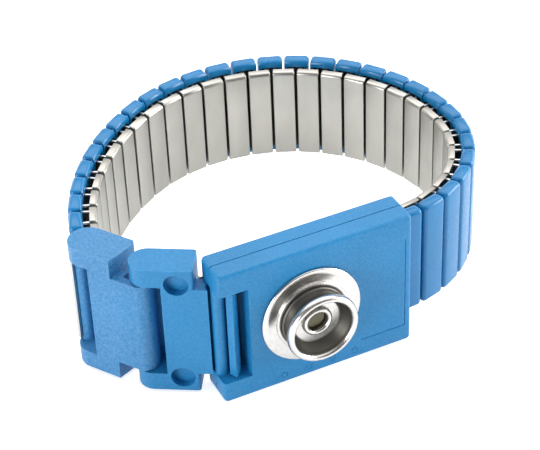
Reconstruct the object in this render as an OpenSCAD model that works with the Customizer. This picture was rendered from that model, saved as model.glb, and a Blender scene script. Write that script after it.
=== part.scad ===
// Anti-static wrist strap: an expanding band of capped links closed by a snap stud housing
// and a clasp of two hooked links.
// Frame: the origin is on the snap stud's axis, at the middle of its bead. The stud faces -Y,
// the loop lies behind the housing towards +Y, and +Z runs across the band's width.
// The strap stands on the housing's lower edge.

/* [Housing] */
// Length of the housing along X
housing_l = 26.6; // [25:0.2:32]
// Height of the housing along Z
housing_h = 20; // [19.4:0.2:24]
// Thickness of the front shell
front_t = 2.6; // [2.2:0.1:3.4]
// Thickness of the back shell
back_t = 2.6; // [2.4:0.1:3.4]
// Wall of both shells
shell_wall = 1.2; // [0.9:0.1:1.5]
// Radius that eases the shells' outer edges
shell_edge = 0.6; // [0.3:0.1:0.8]
// Length of the clasp window, from the housing's left end
window_l = 3.9; // [3.6:0.1:5]
// Radius of the pegs that join the shells
peg_r = 0.9; // [0.6:0.1:1.1]
// Distance from the window's wall to the left pegs' middle
peg_left = 1.9; // [1.8:0.1:2.4]
// Distance from the right end to the right pegs' middle
peg_right = 4.4; // [4.2:0.1:5]
// Thickness of the skin plate on the back
plate_t = 0.4; // [0.3:0.1:0.6]
// Depth of the skin plate's seat in the back shell
plate_seat = 0.1; // [0.05:0.05:0.3]
// Margin of the back shell round the skin plate
plate_margin = 1.4; // [1:0.1:2]
// Reach of the skin plate past the housing's left end, behind the clasp window
plate_lead = 0.25; // [0.15:0.05:0.3]

/* [Snap stud] */
// Place of the stud along X, from the housing's middle
stud_x = -1.1; // [-3:0.1:3]
// Radius of the stud's flange
flange_r = 6.85; // [6:0.05:8]
// Thickness of the flange
flange_t = 0.55; // [0.4:0.05:0.8]
// Height of the stud above the housing
stud_h = 3.9; // [3.6:0.1:4.4]
// Radius of the stud's bead
bead_r = 4.85; // [4.7:0.05:5.2]
// Length of the bead's straight land
bead_land = 0.9; // [0.6:0.1:1.1]
// Radius of the neck under the bead
neck_r = 4.15; // [4.05:0.05:4.4]
// Radius of the cup at its mouth
cup_mouth_r = 3.9; // [3.7:0.05:4]
// Radius of the cup at its floor
cup_floor_r = 3.3; // [3:0.05:3.6]
// Height of the cup's floor above the housing
cup_floor_h = 1.6; // [1.2:0.1:2]
// Sheet thickness of the stud
stud_sheet = 0.4; // [0.3:0.05:0.5]
// Radius of the eyelet's shank
eyelet_r = 1.6; // [1.5:0.05:1.8]
// Radius of the eyelet's rolled rim and of its rear head
eyelet_rim_r = 2.2; // [2:0.05:2.6]
// Radius of the eyelet's blind bore
eyelet_bore_r = 1.2; // [0.9:0.05:1.3]

/* [Clasp] */
// Radius of the bars that the hooks turn on
bar_r = 0.85; // [0.7:0.05:1]
// Height of the clasp link
clasp_h = 19; // [18:0.2:20]
// Thickness of the clasp link
clasp_t = 4.5; // [4.2:0.1:5]
// Distance between the clasp link's bar and its hook
clasp_pitch = 10.05; // [9.8:0.05:10.2]
// Angle between the clasp link and the end link, with the clasp closed
clasp_fold = 157.2; // [155:0.2:159]
// Length of the clasp link's full-height body, from its rounded end
clasp_body_l = 8.15; // [7.8:0.05:8.4]
// Radius of the two round recesses in the clasp link
recess_r = 1.56; // [1.4:0.02:1.6]
// Depth of the two round recesses
recess_depth = 1.1; // [0.5:0.1:2]
// Distance of the round recesses from the clasp link's bar
recess_x = 5.15; // [5:0.05:5.5]
// Distance of the round recesses from the middle of the clasp link's arms, towards its middle
recess_in = 0.85; // [0.7:0.05:1.2]
// Depth of the clasp link's bar behind its front face
clasp_bar_depth = 2.2; // [2.1:0.05:2.3]
// Depth of the clasp link's hook behind its front face, to the middle of the hook
clasp_hook_depth = 0.87; // [0.8:0.01:0.95]
// Angle that the clasp link's hook wraps round the front of the housing's bar
hook_tip = 33; // [28:1:38]
// Thickness of the web at the back of the clasp link's window
web_t = 0.5; // [0.4:0.05:0.6]
// Play of the clasp link's hook on the housing's bar
clasp_play = 0.5; // [0.3:0.05:0.55]
// Thickness of the end link
end_t = 5; // [4.6:0.1:5.4]
// Distance between the end link's bar and its hook
end_pitch = 9.25; // [9:0.05:9.6]
// Length of the end link's full-height body, from its rounded end
end_body_l = 7.9; // [7.6:0.05:8.1]
// Depth of the end link's hook behind its front face, to the middle of the hook
end_hook_depth = 1.8; // [1.7:0.05:1.9]
// Play of the end link's hook on the clasp link's bar
end_play = 0.15; // [0.1:0.05:0.3]
// Wall of the moulded hooks
hook_wall = 1.05; // [0.9:0.05:1.1]
// Height of the arms' window and of the hooked tongues that work in it
window_h = 13.8; // [13:0.2:14]
// Sheet thickness of the steel band hook
band_hook_t = 0.4; // [0.3:0.05:0.5]
// Distance from the last band pivot to the end link's bar
band_hook_l = 2.65; // [2.4:0.05:3]

/* [Band] */
// Number of capped links
link_count = 29; // [27:1:30]
// Distance from link to link along the band's outer face
link_pitch = 4; // [3.8:0.05:4.1]
// Gap between neighbouring caps at their outer faces
cap_gap = 0.35; // [0.3:0.05:0.6]
// Length of a cap across the band
cap_l = 15.7; // [15:0.1:16.4]
// Depth of a cap, through the band
cap_d = 1.85; // [1.7:0.05:2]
// Top wall of a cap, over the steel sleeve
cap_wall = 0.35; // [0.25:0.05:0.45]
// Side wall of a cap beside its steel sleeve, at the outer face
cap_side = 0.475; // [0.45:0.025:0.6]
// Distance from a cap's end to the ends of the steel sleeves
cap_end = 1.25; // [1.1:0.05:1.5]
// Sheet thickness of the steel sleeves
sleeve_wall = 0.2; // [0.15:0.01:0.22]
// Depth from the caps' outer face to the inner sleeves
inner_depth = 2.8; // [2.6:0.05:3]
// Thickness of an inner sleeve
inner_t = 1.05; // [1:0.05:1.3]
// Gap between the inner sleeves where the band bends most
inner_gap = 0.14; // [0.1:0.02:0.3]
// Radius of the bows' wire
wire_r = 0.25; // [0.2:0.01:0.27]
// Place of a bow's leg, from the middle of its sleeve
leg_x = 0.8; // [0.7:0.05:0.85]
// Width of the leaf springs in the sleeves
leaf_w = 1.7; // [1.4:0.1:1.9]
// Rise of the leaf springs in the outer sleeves
outer_leaf_rise = 0.6; // [0.4:0.05:0.7]
// Rise of the leaf springs in the inner sleeves
inner_leaf_rise = 0.3; // [0.2:0.05:0.35]
// Number of joints that bend along the right side
right_joints = 7; // [5:1:9]
// Bend of each joint along the right side
right_turn = 12; // [11:0.1:13]
// Number of joints that bend along the back
back_joints = 14; // [12:1:16]
// Bend of each joint along the back
back_turn = 8.8; // [8:0.1:9.4]
// Bend of each joint along the left side
left_turn = 5.9; // [5:0.1:7]

/* [Clearances] */
// Running gap between pieces that move past each other
running_gap = 0.1; // [0.05:0.05:0.15]
// Gap of pieces that seat in each other
seat_gap = 0.02; // [0.01:0.01:0.05]

/* [Hidden] */
$fn = 48;
small_cut = 0.01;
housing_t = front_t + back_t;
left_end = -housing_l / 2;
right_end = housing_l / 2;
window_right = left_end + window_l;
tongue_h = window_h - 4 * running_gap;
end_h = clasp_h - 2 * running_gap;
cap_w = link_pitch - cap_gap;
sleeve_w = cap_w - 2 * cap_side;
sleeve_l = cap_l - 2 * cap_end;
inner_w = link_pitch - 2 * (inner_depth + inner_t) * tan(right_turn / 2) - inner_gap;

// Stud heights are measured outwards from the housing's front face
bead_top = stud_h - 0.25;
bead_middle = bead_top - bead_land / 2;
front_y = bead_middle;

// The housing's bar, level with the housing's left end, with the hook clear of the skin plate
clasp_hook_in = bar_r + clasp_play;
clasp_hook_out = clasp_hook_in + hook_wall;
housing_bar = [left_end + bar_r, housing_t - plate_seat - running_gap - clasp_hook_out];
end_hook_in = bar_r + end_play;
end_hook_out = end_hook_in + hook_wall;

// The band starts tucked behind the right end of the housing
band_tuck = 0.5;
band_start = [right_end - band_tuck, front_t + running_gap];
function unit(angle) = [cos(angle), sin(angle)];
function direction(v) = (atan2(v[1], v[0]) + 360) % 360;
// A point in a frame that is placed at p and turned by an angle
function placed_at(p, angle, local) = p + local[0] * unit(angle) + local[1] * unit(angle + 90);

leg_depth = cap_wall + (cap_d - cap_wall) / 2;
inner_leg_depth = inner_depth + inner_t / 2;

// The band's own route, from its first seam and with its first link along X
function turn(k) = k <= right_joints ? right_turn
    : k <= right_joints + back_joints ? back_turn : left_turn;
function bent(k) = k <= 0 ? 0 : bent(k - 1) + turn(k);
function route(k) = k <= 0 ? [0, 0] : route(k - 1) + link_pitch * unit(bent(k - 1));
route_end = placed_at(route(link_count), bent(link_count), [link_pitch / 2 - leg_x, leg_depth])
    + band_hook_l * unit(bent(link_count - 1) - 6);

clasp_span = sqrt(clasp_pitch ^ 2 + end_pitch ^ 2 - 2 * clasp_pitch * end_pitch * cos(clasp_fold));

// The first link's heading brings the route's end to the clasp's reach from the housing's bar
bar_from_start = housing_bar - band_start;
start_heading = direction(bar_from_start) - direction(route_end) - acos(
    (norm(bar_from_start) ^ 2 + norm(route_end) ^ 2 - clasp_span ^ 2)
    / (2 * norm(bar_from_start) * norm(route_end)));
function heading(k) = start_heading + bent(k);
function seam(k) = placed_at(band_start, start_heading, route(k));
function link_middle(k) = seam(k) + link_pitch / 2 * unit(heading(k));
// The inner sleeves straddle the seams; the first one is fixed behind the housing
function inner_heading(k) = k < 0 ? 0 : (heading(k) + heading(k + 1)) / 2;
function outer_leg(k, side) = placed_at(link_middle(k), heading(k), [side * leg_x, leg_depth]);
function inner_leg(k, side) =
    placed_at(seam(k + 1), inner_heading(k), [side * leg_x, inner_leg_depth]);

// The clasp closes the loop: its bars are where the hooked links meet
last_pivot = outer_leg(link_count, -1);
band_end_heading = heading(link_count - 1);
end_bar = placed_at(band_start, start_heading, route_end);
clasp_lead = (clasp_pitch ^ 2 + clasp_span ^ 2 - end_pitch ^ 2) / (2 * clasp_pitch * clasp_span);
clasp_bar = housing_bar + clasp_pitch * unit(direction(end_bar - housing_bar) + acos(clasp_lead));
clasp_drop = asin((clasp_bar_depth - clasp_hook_depth) / clasp_pitch);
clasp_run = clasp_pitch * cos(clasp_drop);
clasp_angle = direction(housing_bar - clasp_bar) + clasp_drop;
end_bar_depth = end_t / 2 + running_gap;
end_drop = asin((end_bar_depth - end_hook_depth) / end_pitch);
end_run = end_pitch * cos(end_drop);
end_angle = direction(clasp_bar - end_bar) + end_drop;

// Bows: the legs reach into the sleeves and the bridges pass over their ends
bridge_low = sleeve_l / 2 + running_gap / 2;
bridge_high = bridge_low + 2 * wire_r - running_gap / 2;
leg_low = bridge_low - 2.2;
leaf_l = 2 * (leg_low - 2 * running_gap);
leaf_t = 0.12;

blue = [0.15, 0.47, 0.73];
blue_cap = [0.13, 0.45, 0.75];
steel = [0.78, 0.78, 0.76];
dark_steel = [0.45, 0.45, 0.44];

function link_name(k) = str("band_link_", k < 10 ? "0" : "", k);

// Moves the housing's own frame, whose origin is the middle of its front face, to the stud
module at_snap() {
    translate([-stud_x, front_y, 0]) children();
}

// Places children in a plan frame: local X along the angle, local Y towards the loop's inside
module in_plan(p, angle) {
    translate([p[0], p[1], 0]) rotate([0, 0, angle]) children();
}

// A block centred on Z that spans x0..x1 and y0..y1
module bar_block(x0, x1, y0, y1, height) {
    translate([x0, y0, -height / 2]) cube([x1 - x0, y1 - y0, height]);
}

// A rectangle centred on the origin with round corners
module round_rect(w, h, r) {
    square([w - 2 * r, h], center = true);
    square([w, h - 2 * r], center = true);
    for (sx = [-1, 1], sy = [-1, 1])
        translate([sx * (w / 2 - r), sy * (h / 2 - r)]) circle(r);
}

// A rectangle of width w on the X axis, from y = 0 to y = d, whose two corners at y = 0 are round
module eased_rect(w, d, r) {
    translate([-w / 2, r]) square([w, d - r]);
    translate([-w / 2 + r, 0]) square([w - 2 * r, 2 * r]);
    for (sx = [-1, 1]) translate([sx * (w / 2 - r), r]) circle(r);
}

// A slab with its outer face at y = 0 and its thickness towards +Y, eased round the outer face
module eased_slab(l, h, t, edge) {
    intersection() {
        rotate([90, 0, 0]) translate([0, 0, -t]) linear_extrude(t) round_rect(l, h, edge);
        translate([0, 0, -h / 2]) linear_extrude(h) eased_rect(l, t, edge);
        rotate([90, 0, 90]) translate([0, 0, -l / 2]) linear_extrude(l)
            rotate([0, 0, -90]) eased_rect_down(h, t, edge);
    }
}

// The same eased rectangle, laid for the side view of eased_slab
module eased_rect_down(w, d, r) {
    eased_rect(w, d, r);
}

// Both shells: peg places, and the space that the clasp's hook works in
peg_x = [window_right + shell_wall + peg_left, right_end - peg_right];
peg_z = housing_h / 2 - shell_wall - 1.4;
module peg_places() {
    for (x = peg_x, z = [-peg_z, peg_z]) translate([x, 0, z]) rotate([-90, 0, 0]) children();
}

module hook_window(y0, y1) {
    bar_block(left_end - 1, window_right, y0, y1, window_h);
}

cavity_left = window_right + shell_wall;
cavity_right = right_end - 2.1;
boss_r = eyelet_rim_r + 1.2;

// Front moulding: window arms, hollow inside, boss round the eyelet and sockets for the pegs
module front_shell() {
    color(blue) at_snap() difference() {
        eased_slab(housing_l, housing_h, front_t, shell_edge);
        hook_window(-1, front_t + 1);
        bar_pin_seat();
        difference() {
            bar_block(cavity_left, cavity_right, shell_wall, front_t + 1,
                housing_h - 2 * shell_wall);
            translate([stud_x, 0, 0]) rotate([-90, 0, 0]) cylinder(h = front_t + 2, r = boss_r);
            peg_places() cylinder(h = front_t + 2, r = peg_r + 0.9);
        }
        translate([stud_x, -1, 0]) rotate([-90, 0, 0])
            cylinder(h = front_t + 2, r = eyelet_r + seat_gap);
        peg_places() translate([0, 0, shell_wall - 0.2])
            cylinder(h = front_t, r = peg_r + seat_gap);
    }
}

// Back moulding: pegs, seat of the skin plate and the notch that the first band link tucks into
module back_shell() {
    color(blue) at_snap() {
        difference() {
            translate([0, housing_t, 0]) mirror([0, 1, 0])
                eased_slab(housing_l, housing_h, back_t, shell_edge);
            hook_window(front_t - 1, housing_t + 1);
            bar_pin_seat();
            difference() {
                bar_block(cavity_left, cavity_right, front_t - 1, housing_t - shell_wall,
                    housing_h - 2 * shell_wall);
                translate([stud_x, 0, 0]) rotate([-90, 0, 0])
                    cylinder(h = housing_t, r = boss_r);
                peg_places() cylinder(h = housing_t, r = peg_r + 0.9);
            }
            translate([stud_x, front_t - 1, 0]) rotate([-90, 0, 0])
                cylinder(h = back_t + 2, r = eyelet_r + seat_gap);
            translate([stud_x, eyelet_head_y, 0]) rotate([-90, 0, 0])
                cylinder(h = back_t, r = eyelet_rim_r + 0.4 + seat_gap);
            skin_plate_body(seat_gap);
            link_notch();
            parting_groove();
        }
        peg_places() translate([0, 0, shell_wall])
            cylinder(h = front_t - shell_wall + 0.5, r = peg_r);
    }
}

// Fine groove that shows the line where the shells meet
module parting_groove() {
    groove = 0.12;
    difference() {
        bar_block(left_end - 1, right_end + 1, front_t - 1, front_t + groove, housing_h + 2);
        bar_block(left_end + groove, right_end - groove, front_t - 2, front_t + 1,
            housing_h - 2 * groove);
    }
}

// Notch in the right end, clear of the first cap at every bend
module link_notch() {
    bar_block(right_end - band_tuck - 0.35, right_end + 1, front_t - 1, housing_t + 1,
        cap_l + 8 * running_gap);
}

// Seats of the bar pin in the window's arms
bar_pin_l = window_h + 3;
module bar_pin_seat() {
    in_plan(housing_bar, 0)
        cylinder(h = bar_pin_l + 2 * seat_gap, r = bar_r + seat_gap, center = true);
}

// Bar across the housing's window that the clasp link hooks on
module housing_bar_pin() {
    color(blue) at_snap() in_plan(housing_bar, 0)
        cylinder(h = bar_pin_l, r = bar_r, center = true);
}

// Male snap stud: flange, neck, bead and a deep cup, drawn as radius and height
module snap_stud() {
    ease = 0.25;
    color(steel) at_snap() translate([stud_x, 0, 0]) rotate([90, 0, 0]) rotate_extrude(angle = 360)
        polygon([
            [neck_r - stud_sheet, 0],
            [flange_r - ease, 0],
            [flange_r, ease / 2],
            [flange_r, flange_t - ease / 2],
            [flange_r - ease, flange_t],
            [neck_r + 0.45, flange_t - 0.05],
            [neck_r + 0.12, flange_t + 0.3],
            [neck_r, bead_top - bead_land - 0.7],
            [bead_r - ease, bead_top - bead_land - 0.1],
            [bead_r, bead_top - bead_land],
            [bead_r, bead_top],
            [bead_r - ease, stud_h - 0.03],
            [(bead_r + cup_mouth_r) / 2, stud_h],
            [cup_mouth_r + 0.1, stud_h - 0.12],
            [cup_mouth_r, bead_top - 0.15],
            [cup_floor_r + 0.1, cup_floor_h + 0.25],
            [cup_floor_r - 0.2, cup_floor_h],
            [eyelet_r + seat_gap, cup_floor_h],
            [eyelet_r + seat_gap, cup_floor_h - stud_sheet],
            [cup_floor_r, cup_floor_h - stud_sheet],
            [cup_floor_r + 0.25, cup_floor_h - 0.2],
            [neck_r - stud_sheet, flange_t]
        ]);
}

// Blind eyelet that clamps the stud, the shells and the skin plate's contact together
eyelet_head_t = 0.5;
eyelet_head_y = housing_t - plate_seat - eyelet_head_t;
module stud_eyelet() {
    rim_t = 0.4;
    front_h = cup_floor_h + rim_t;
    bore_floor = cup_floor_h - 2.6;
    color(steel) at_snap() translate([stud_x, 0, 0]) rotate([90, 0, 0]) rotate_extrude(angle = 360)
        polygon([
            [0, -eyelet_head_y - eyelet_head_t],
            [eyelet_rim_r + 0.4, -eyelet_head_y - eyelet_head_t],
            [eyelet_rim_r + 0.4, -eyelet_head_y],
            [eyelet_r, -eyelet_head_y],
            [eyelet_r, cup_floor_h],
            [eyelet_rim_r, cup_floor_h],
            [eyelet_rim_r, cup_floor_h + rim_t / 2],
            [eyelet_rim_r - 0.2, front_h],
            [eyelet_bore_r + 0.3, front_h],
            [eyelet_bore_r, front_h - 0.3],
            [eyelet_bore_r, bore_floor],
            [0, bore_floor]
        ]);
}

// Outline of the skin plate, grown by a gap where it cuts its seat
module skin_plate_body(gap) {
    left = window_right + plate_margin / 2;
    right = right_end - band_tuck + 0.2;
    height = housing_h - 2 * plate_margin;
    translate([(left + right) / 2, housing_t - plate_seat - gap, 0]) rotate([-90, 0, 0])
        linear_extrude(plate_t + 2 * gap) round_rect(right - left + 2 * gap, height + 2 * gap, 1);
    bar_block(left_end - plate_lead - gap, left + 2, housing_t - plate_seat - gap,
        housing_t - plate_seat + plate_t + gap, window_h - 2 * running_gap);
    tab_w = 3;
    for (x = peg_x, s = [-1, 1])
        translate([x - tab_w / 2 - gap, housing_t - plate_seat - tab_deep - gap,
                s * (height / 2 - plate_t / 2) - plate_t / 2 - gap])
            cube([tab_w + 2 * gap, tab_deep + plate_t / 2 + 2 * gap, plate_t + 2 * gap]);
}
tab_deep = 0.9;

// Stainless plate that touches the skin, with four tabs pressed into the back shell
module skin_plate() {
    color(steel) at_snap() skin_plate_body(0);
}

// One rolled steel sleeve: open at both ends, with its outer face at y = 0
module sleeve(w, t, l, edge) {
    difference() {
        translate([0, t / 2, -l / 2]) linear_extrude(l) round_rect(w, t, edge);
        bar_block(-w / 2 + sleeve_wall, w / 2 - sleeve_wall, sleeve_wall, t - sleeve_wall, l + 1);
    }
}

// Arched leaf spring inside a sleeve: w wide, rising by rise over leaf_l
module leaf_spring(w, rise, y0) {
    bend_r = leaf_l ^ 2 / (8 * rise) + rise / 2;
    translate([-w / 2, y0 + rise - bend_r, 0]) rotate([0, 90, 0]) linear_extrude(w)
        intersection() {
            difference() {
                circle(bend_r + leaf_t);
                circle(bend_r);
            }
            translate([-leaf_l / 2, bend_r - rise]) square([leaf_l, rise + 1]);
        }
}

// Pair of wire bows, one at each edge of the band, from an outer leg to an inner leg
module bow_pair(outer, inner) {
    run = inner - outer;
    for (side = [0, 1]) mirror([0, 0, side]) {
        for (p = [outer, inner]) translate([p[0], p[1], leg_low])
            cylinder(h = bridge_high - leg_low, r = wire_r);
        translate([outer[0], outer[1], bridge_low]) rotate([0, 0, direction(run)])
            translate([0, -wire_r * 0.8, 0])
                cube([norm(run), 1.6 * wire_r, bridge_high - bridge_low - small_cut]);
    }
}

// Moulded cap with its outer face at y = 0: sides drawn in, round outer edges, open at the back
module cap() {
    draw_in = 0.27;
    edge = 0.45;
    end_edge = 0.9;
    difference() {
        intersection() {
            translate([0, 0, -cap_l / 2]) linear_extrude(cap_l) intersection() {
                eased_rect(cap_w, cap_d, edge);
                polygon([[-cap_w / 2, 0], [cap_w / 2, 0], [cap_w / 2, edge],
                    [cap_w / 2 - draw_in, cap_d], [-cap_w / 2 + draw_in, cap_d],
                    [-cap_w / 2, edge]]);
            }
            rotate([0, -90, 0]) translate([0, 0, -cap_w / 2 - 1]) linear_extrude(cap_w + 2)
                eased_rect(cap_l, cap_d, end_edge);
        }
        bar_block(-sleeve_w / 2 - seat_gap, sleeve_w / 2 + seat_gap, cap_wall - seat_gap,
            cap_d + 1, 2 * (bridge_high + running_gap));
    }
}

// Everything that one link carries: cap, outer sleeve, inner sleeve, two leaf springs, four bows
module band_link(k) {
    outer_t = cap_d - cap_wall - seat_gap;
    at_snap() {
        in_plan(link_middle(k), heading(k)) {
            color(blue_cap) cap();
            color(steel) translate([0, cap_wall, 0]) sleeve(sleeve_w, outer_t, sleeve_l, 0.15);
            color(dark_steel) leaf_spring(leaf_w, outer_leaf_rise, cap_wall + sleeve_wall + 0.15);
        }
        in_plan(seam(k + 1), inner_heading(k)) translate([0, inner_depth, 0]) {
            color(steel) sleeve(inner_w, inner_t, sleeve_l, 0.3);
            color(dark_steel) leaf_spring(leaf_w, inner_leaf_rise, sleeve_wall + 0.1);
        }
        color(steel) bow_pair(outer_leg(k, 1), inner_leg(k, -1));
        color(steel) bow_pair(outer_leg(k + 1, -1), inner_leg(k, 1));
    }
}

// Sleeve that is fixed on the skin plate and starts the band's inner row
module anchor_sleeve() {
    color(steel) at_snap() in_plan(band_start, inner_heading(-1)) translate([0, inner_depth, 0])
        sleeve(inner_w, inner_t, sleeve_l, 0.3);
}

// Bows that the first link hangs on
module anchor_bows() {
    color(steel) at_snap() bow_pair(outer_leg(0, -1), inner_leg(-1, 1));
}

// Plan of a hook: a ring that is open between two angles, counted anticlockwise from local X
module open_ring(r_in, r_out, open_from, open_to) {
    far = 3 * r_out;
    difference() {
        circle(r_out);
        circle(r_in);
        polygon([[0, 0], far * unit(open_from), far * unit((open_from + open_to) / 2),
            far * unit(open_to)]);
    }
}

// A rectangle from x0 to x1 and from y0 to y1
module span(x0, x1, y0, y1) {
    translate([x0, y0]) square([x1 - x0, y1 - y0]);
}

// A plan that is raised to a height, centred on Z
module raised(height) {
    translate([0, 0, -height / 2]) linear_extrude(height) children();
}

// Plan of a link body: a full round at its bar end and eased corners at the other
link_ease = 0.4;
module link_plan(l, t) {
    translate([t / 2, t / 2]) circle(t / 2);
    translate([t / 2, 0]) square([l - t / 2 - link_ease, t]);
    translate([l - 2 * link_ease, link_ease]) square([2 * link_ease, t - 2 * link_ease]);
    for (y = [link_ease, t - link_ease]) translate([l - link_ease, y]) circle(link_ease);
}

// Clasp link: hooks behind the housing's bar, and carries a bar for the end link
module clasp_link() {
    hook_middle = [clasp_run, clasp_hook_depth];
    body_end = clasp_body_l - bar_r;
    window_edge = 3.2;
    web_left = sqrt((end_hook_out + running_gap) ^ 2 - (clasp_t - web_t - clasp_bar_depth) ^ 2);
    color(blue) at_snap() in_plan(clasp_bar, clasp_angle) translate([0, -clasp_bar_depth, 0]) {
        difference() {
            translate([-bar_r, 0, 0]) raised(clasp_h) link_plan(clasp_body_l, clasp_t);
            bar_block(-bar_r - 1, window_edge, -1, clasp_t - web_t, window_h);
            bar_block(-bar_r - 1, web_left, -1, clasp_t + 1, window_h);
            for (s = [-1, 1]) translate([recess_x, -1, s * clasp_recess_z]) rotate([-90, 0, 0])
                cylinder(h = recess_depth + 1, r = recess_r);
        }
        translate([0, clasp_bar_depth, 0]) cylinder(h = window_h + 1, r = bar_r, center = true);
        raised(tongue_h) difference() {
            union() {
                span(body_end - link_ease, clasp_run - clasp_hook_in - hook_wall / 2,
                    -1, clasp_hook_depth + clasp_hook_out * 0.6);
                translate(hook_middle)
                    open_ring(clasp_hook_in, clasp_hook_out, 237, 360 - hook_tip);
            }
            translate(hook_middle) circle(clasp_hook_in);
            span(body_end - 2, clasp_run, -3, 0);
        }
    }
}
clasp_recess_z = (window_h + clasp_h) / 4 - recess_in;

// End link: hooks over the clasp link's bar, and carries the bar for the band hook
module end_link() {
    hook_middle = [end_run, end_hook_depth];
    window_edge = 3.05;
    body_end = end_body_l - bar_r;
    color(blue) at_snap() in_plan(end_bar, end_angle) translate([0, -end_bar_depth, 0]) {
        difference() {
            translate([-bar_r, 0, 0]) raised(end_h) link_plan(end_body_l, end_t);
            bar_block(-bar_r - 1, window_edge, -1, end_t + 1, window_h);
            translate([body_end, 0, 0]) rotate([0, 0, -10])
                bar_block(-0.6, 3, -3, end_t + 3, end_h + 1);
        }
        translate([0, end_bar_depth, 0]) cylinder(h = window_h + 1, r = bar_r, center = true);
        raised(tongue_h) difference() {
            union() {
                span(body_end - 1.8, end_run - end_hook_in - hook_wall / 2, -1, 2.2);
                span(body_end - 1.8, end_run, -1, hook_wall);
                translate(hook_middle) open_ring(end_hook_in, end_hook_out, 110, 260);
            }
            translate(hook_middle) circle(end_hook_in);
            span(body_end - 2, end_run + end_hook_out, -3, 0);
        }
    }
}

// Steel clip that snaps on the end link's bar, with a tail that takes the band's last bows
module band_hook() {
    hook_in = bar_r + running_gap;
    hook_out = hook_in + band_hook_t;
    height = tongue_h - 4 * running_gap;
    reach = last_pivot - end_bar;
    tail_l = norm(reach) - wire_r - 3 * running_gap;
    color(steel) at_snap() in_plan(end_bar, direction(reach)) raised(height) {
        open_ring(hook_in, hook_out, 134, 249);
        span(hook_in + band_hook_t / 2, tail_l, -band_hook_t / 2, band_hook_t / 2);
    }
}

front_shell();
back_shell();
housing_bar_pin();
snap_stud();
stud_eyelet();
skin_plate();
anchor_sleeve();
anchor_bows();
clasp_link();
end_link();
band_hook();
for (k = [0:link_count - 1])
    band_link(k);
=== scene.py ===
"""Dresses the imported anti-static wrist strap and sets the studio round it.

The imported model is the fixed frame. The clasp's links, its steel clip, the housing's bar and the
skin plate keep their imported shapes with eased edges. The housing's shells, the snap stud and
every link of the band are modelled afresh in their places. Sizes are in millimetres in the
dataclasses and become metres when a mesh is finished.
"""

from __future__ import annotations

import logging
import math
from collections.abc import Iterable, Sequence
from dataclasses import dataclass, replace
from enum import Enum

import bmesh
import bpy
from mathutils import Matrix, Vector


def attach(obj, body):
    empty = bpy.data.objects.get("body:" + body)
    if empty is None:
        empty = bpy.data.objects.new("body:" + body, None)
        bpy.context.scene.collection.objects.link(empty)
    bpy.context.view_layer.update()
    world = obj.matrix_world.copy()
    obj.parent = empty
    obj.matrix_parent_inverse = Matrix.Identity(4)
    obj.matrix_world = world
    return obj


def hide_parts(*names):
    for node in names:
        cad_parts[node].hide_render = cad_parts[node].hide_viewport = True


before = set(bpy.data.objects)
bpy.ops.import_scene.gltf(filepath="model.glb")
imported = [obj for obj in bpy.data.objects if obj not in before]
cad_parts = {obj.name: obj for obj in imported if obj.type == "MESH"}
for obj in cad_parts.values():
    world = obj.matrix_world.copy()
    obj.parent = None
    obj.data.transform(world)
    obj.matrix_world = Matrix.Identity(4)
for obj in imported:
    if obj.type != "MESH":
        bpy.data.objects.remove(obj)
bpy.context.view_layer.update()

LOG = logging.getLogger("wrist_strap")
MM = 0.001
NEAR = 1e-4  # Places closer than this, in millimetres, are the same.
WHITE = (1.0, 1.0, 1.0, 1.0)

Colour = tuple[float, float, float]
Span = tuple[float, float]
Shape = bmesh.types.BMesh
Edge = bmesh.types.BMEdge
Node = bpy.types.Node
Socket = bpy.types.NodeSocket
Tree = bpy.types.ShaderNodeTree


class Along(Enum):
    """The axis that an edge runs along in a piece's own frame."""

    X = 0
    Z = 2


# --- Shader groups ---


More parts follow.
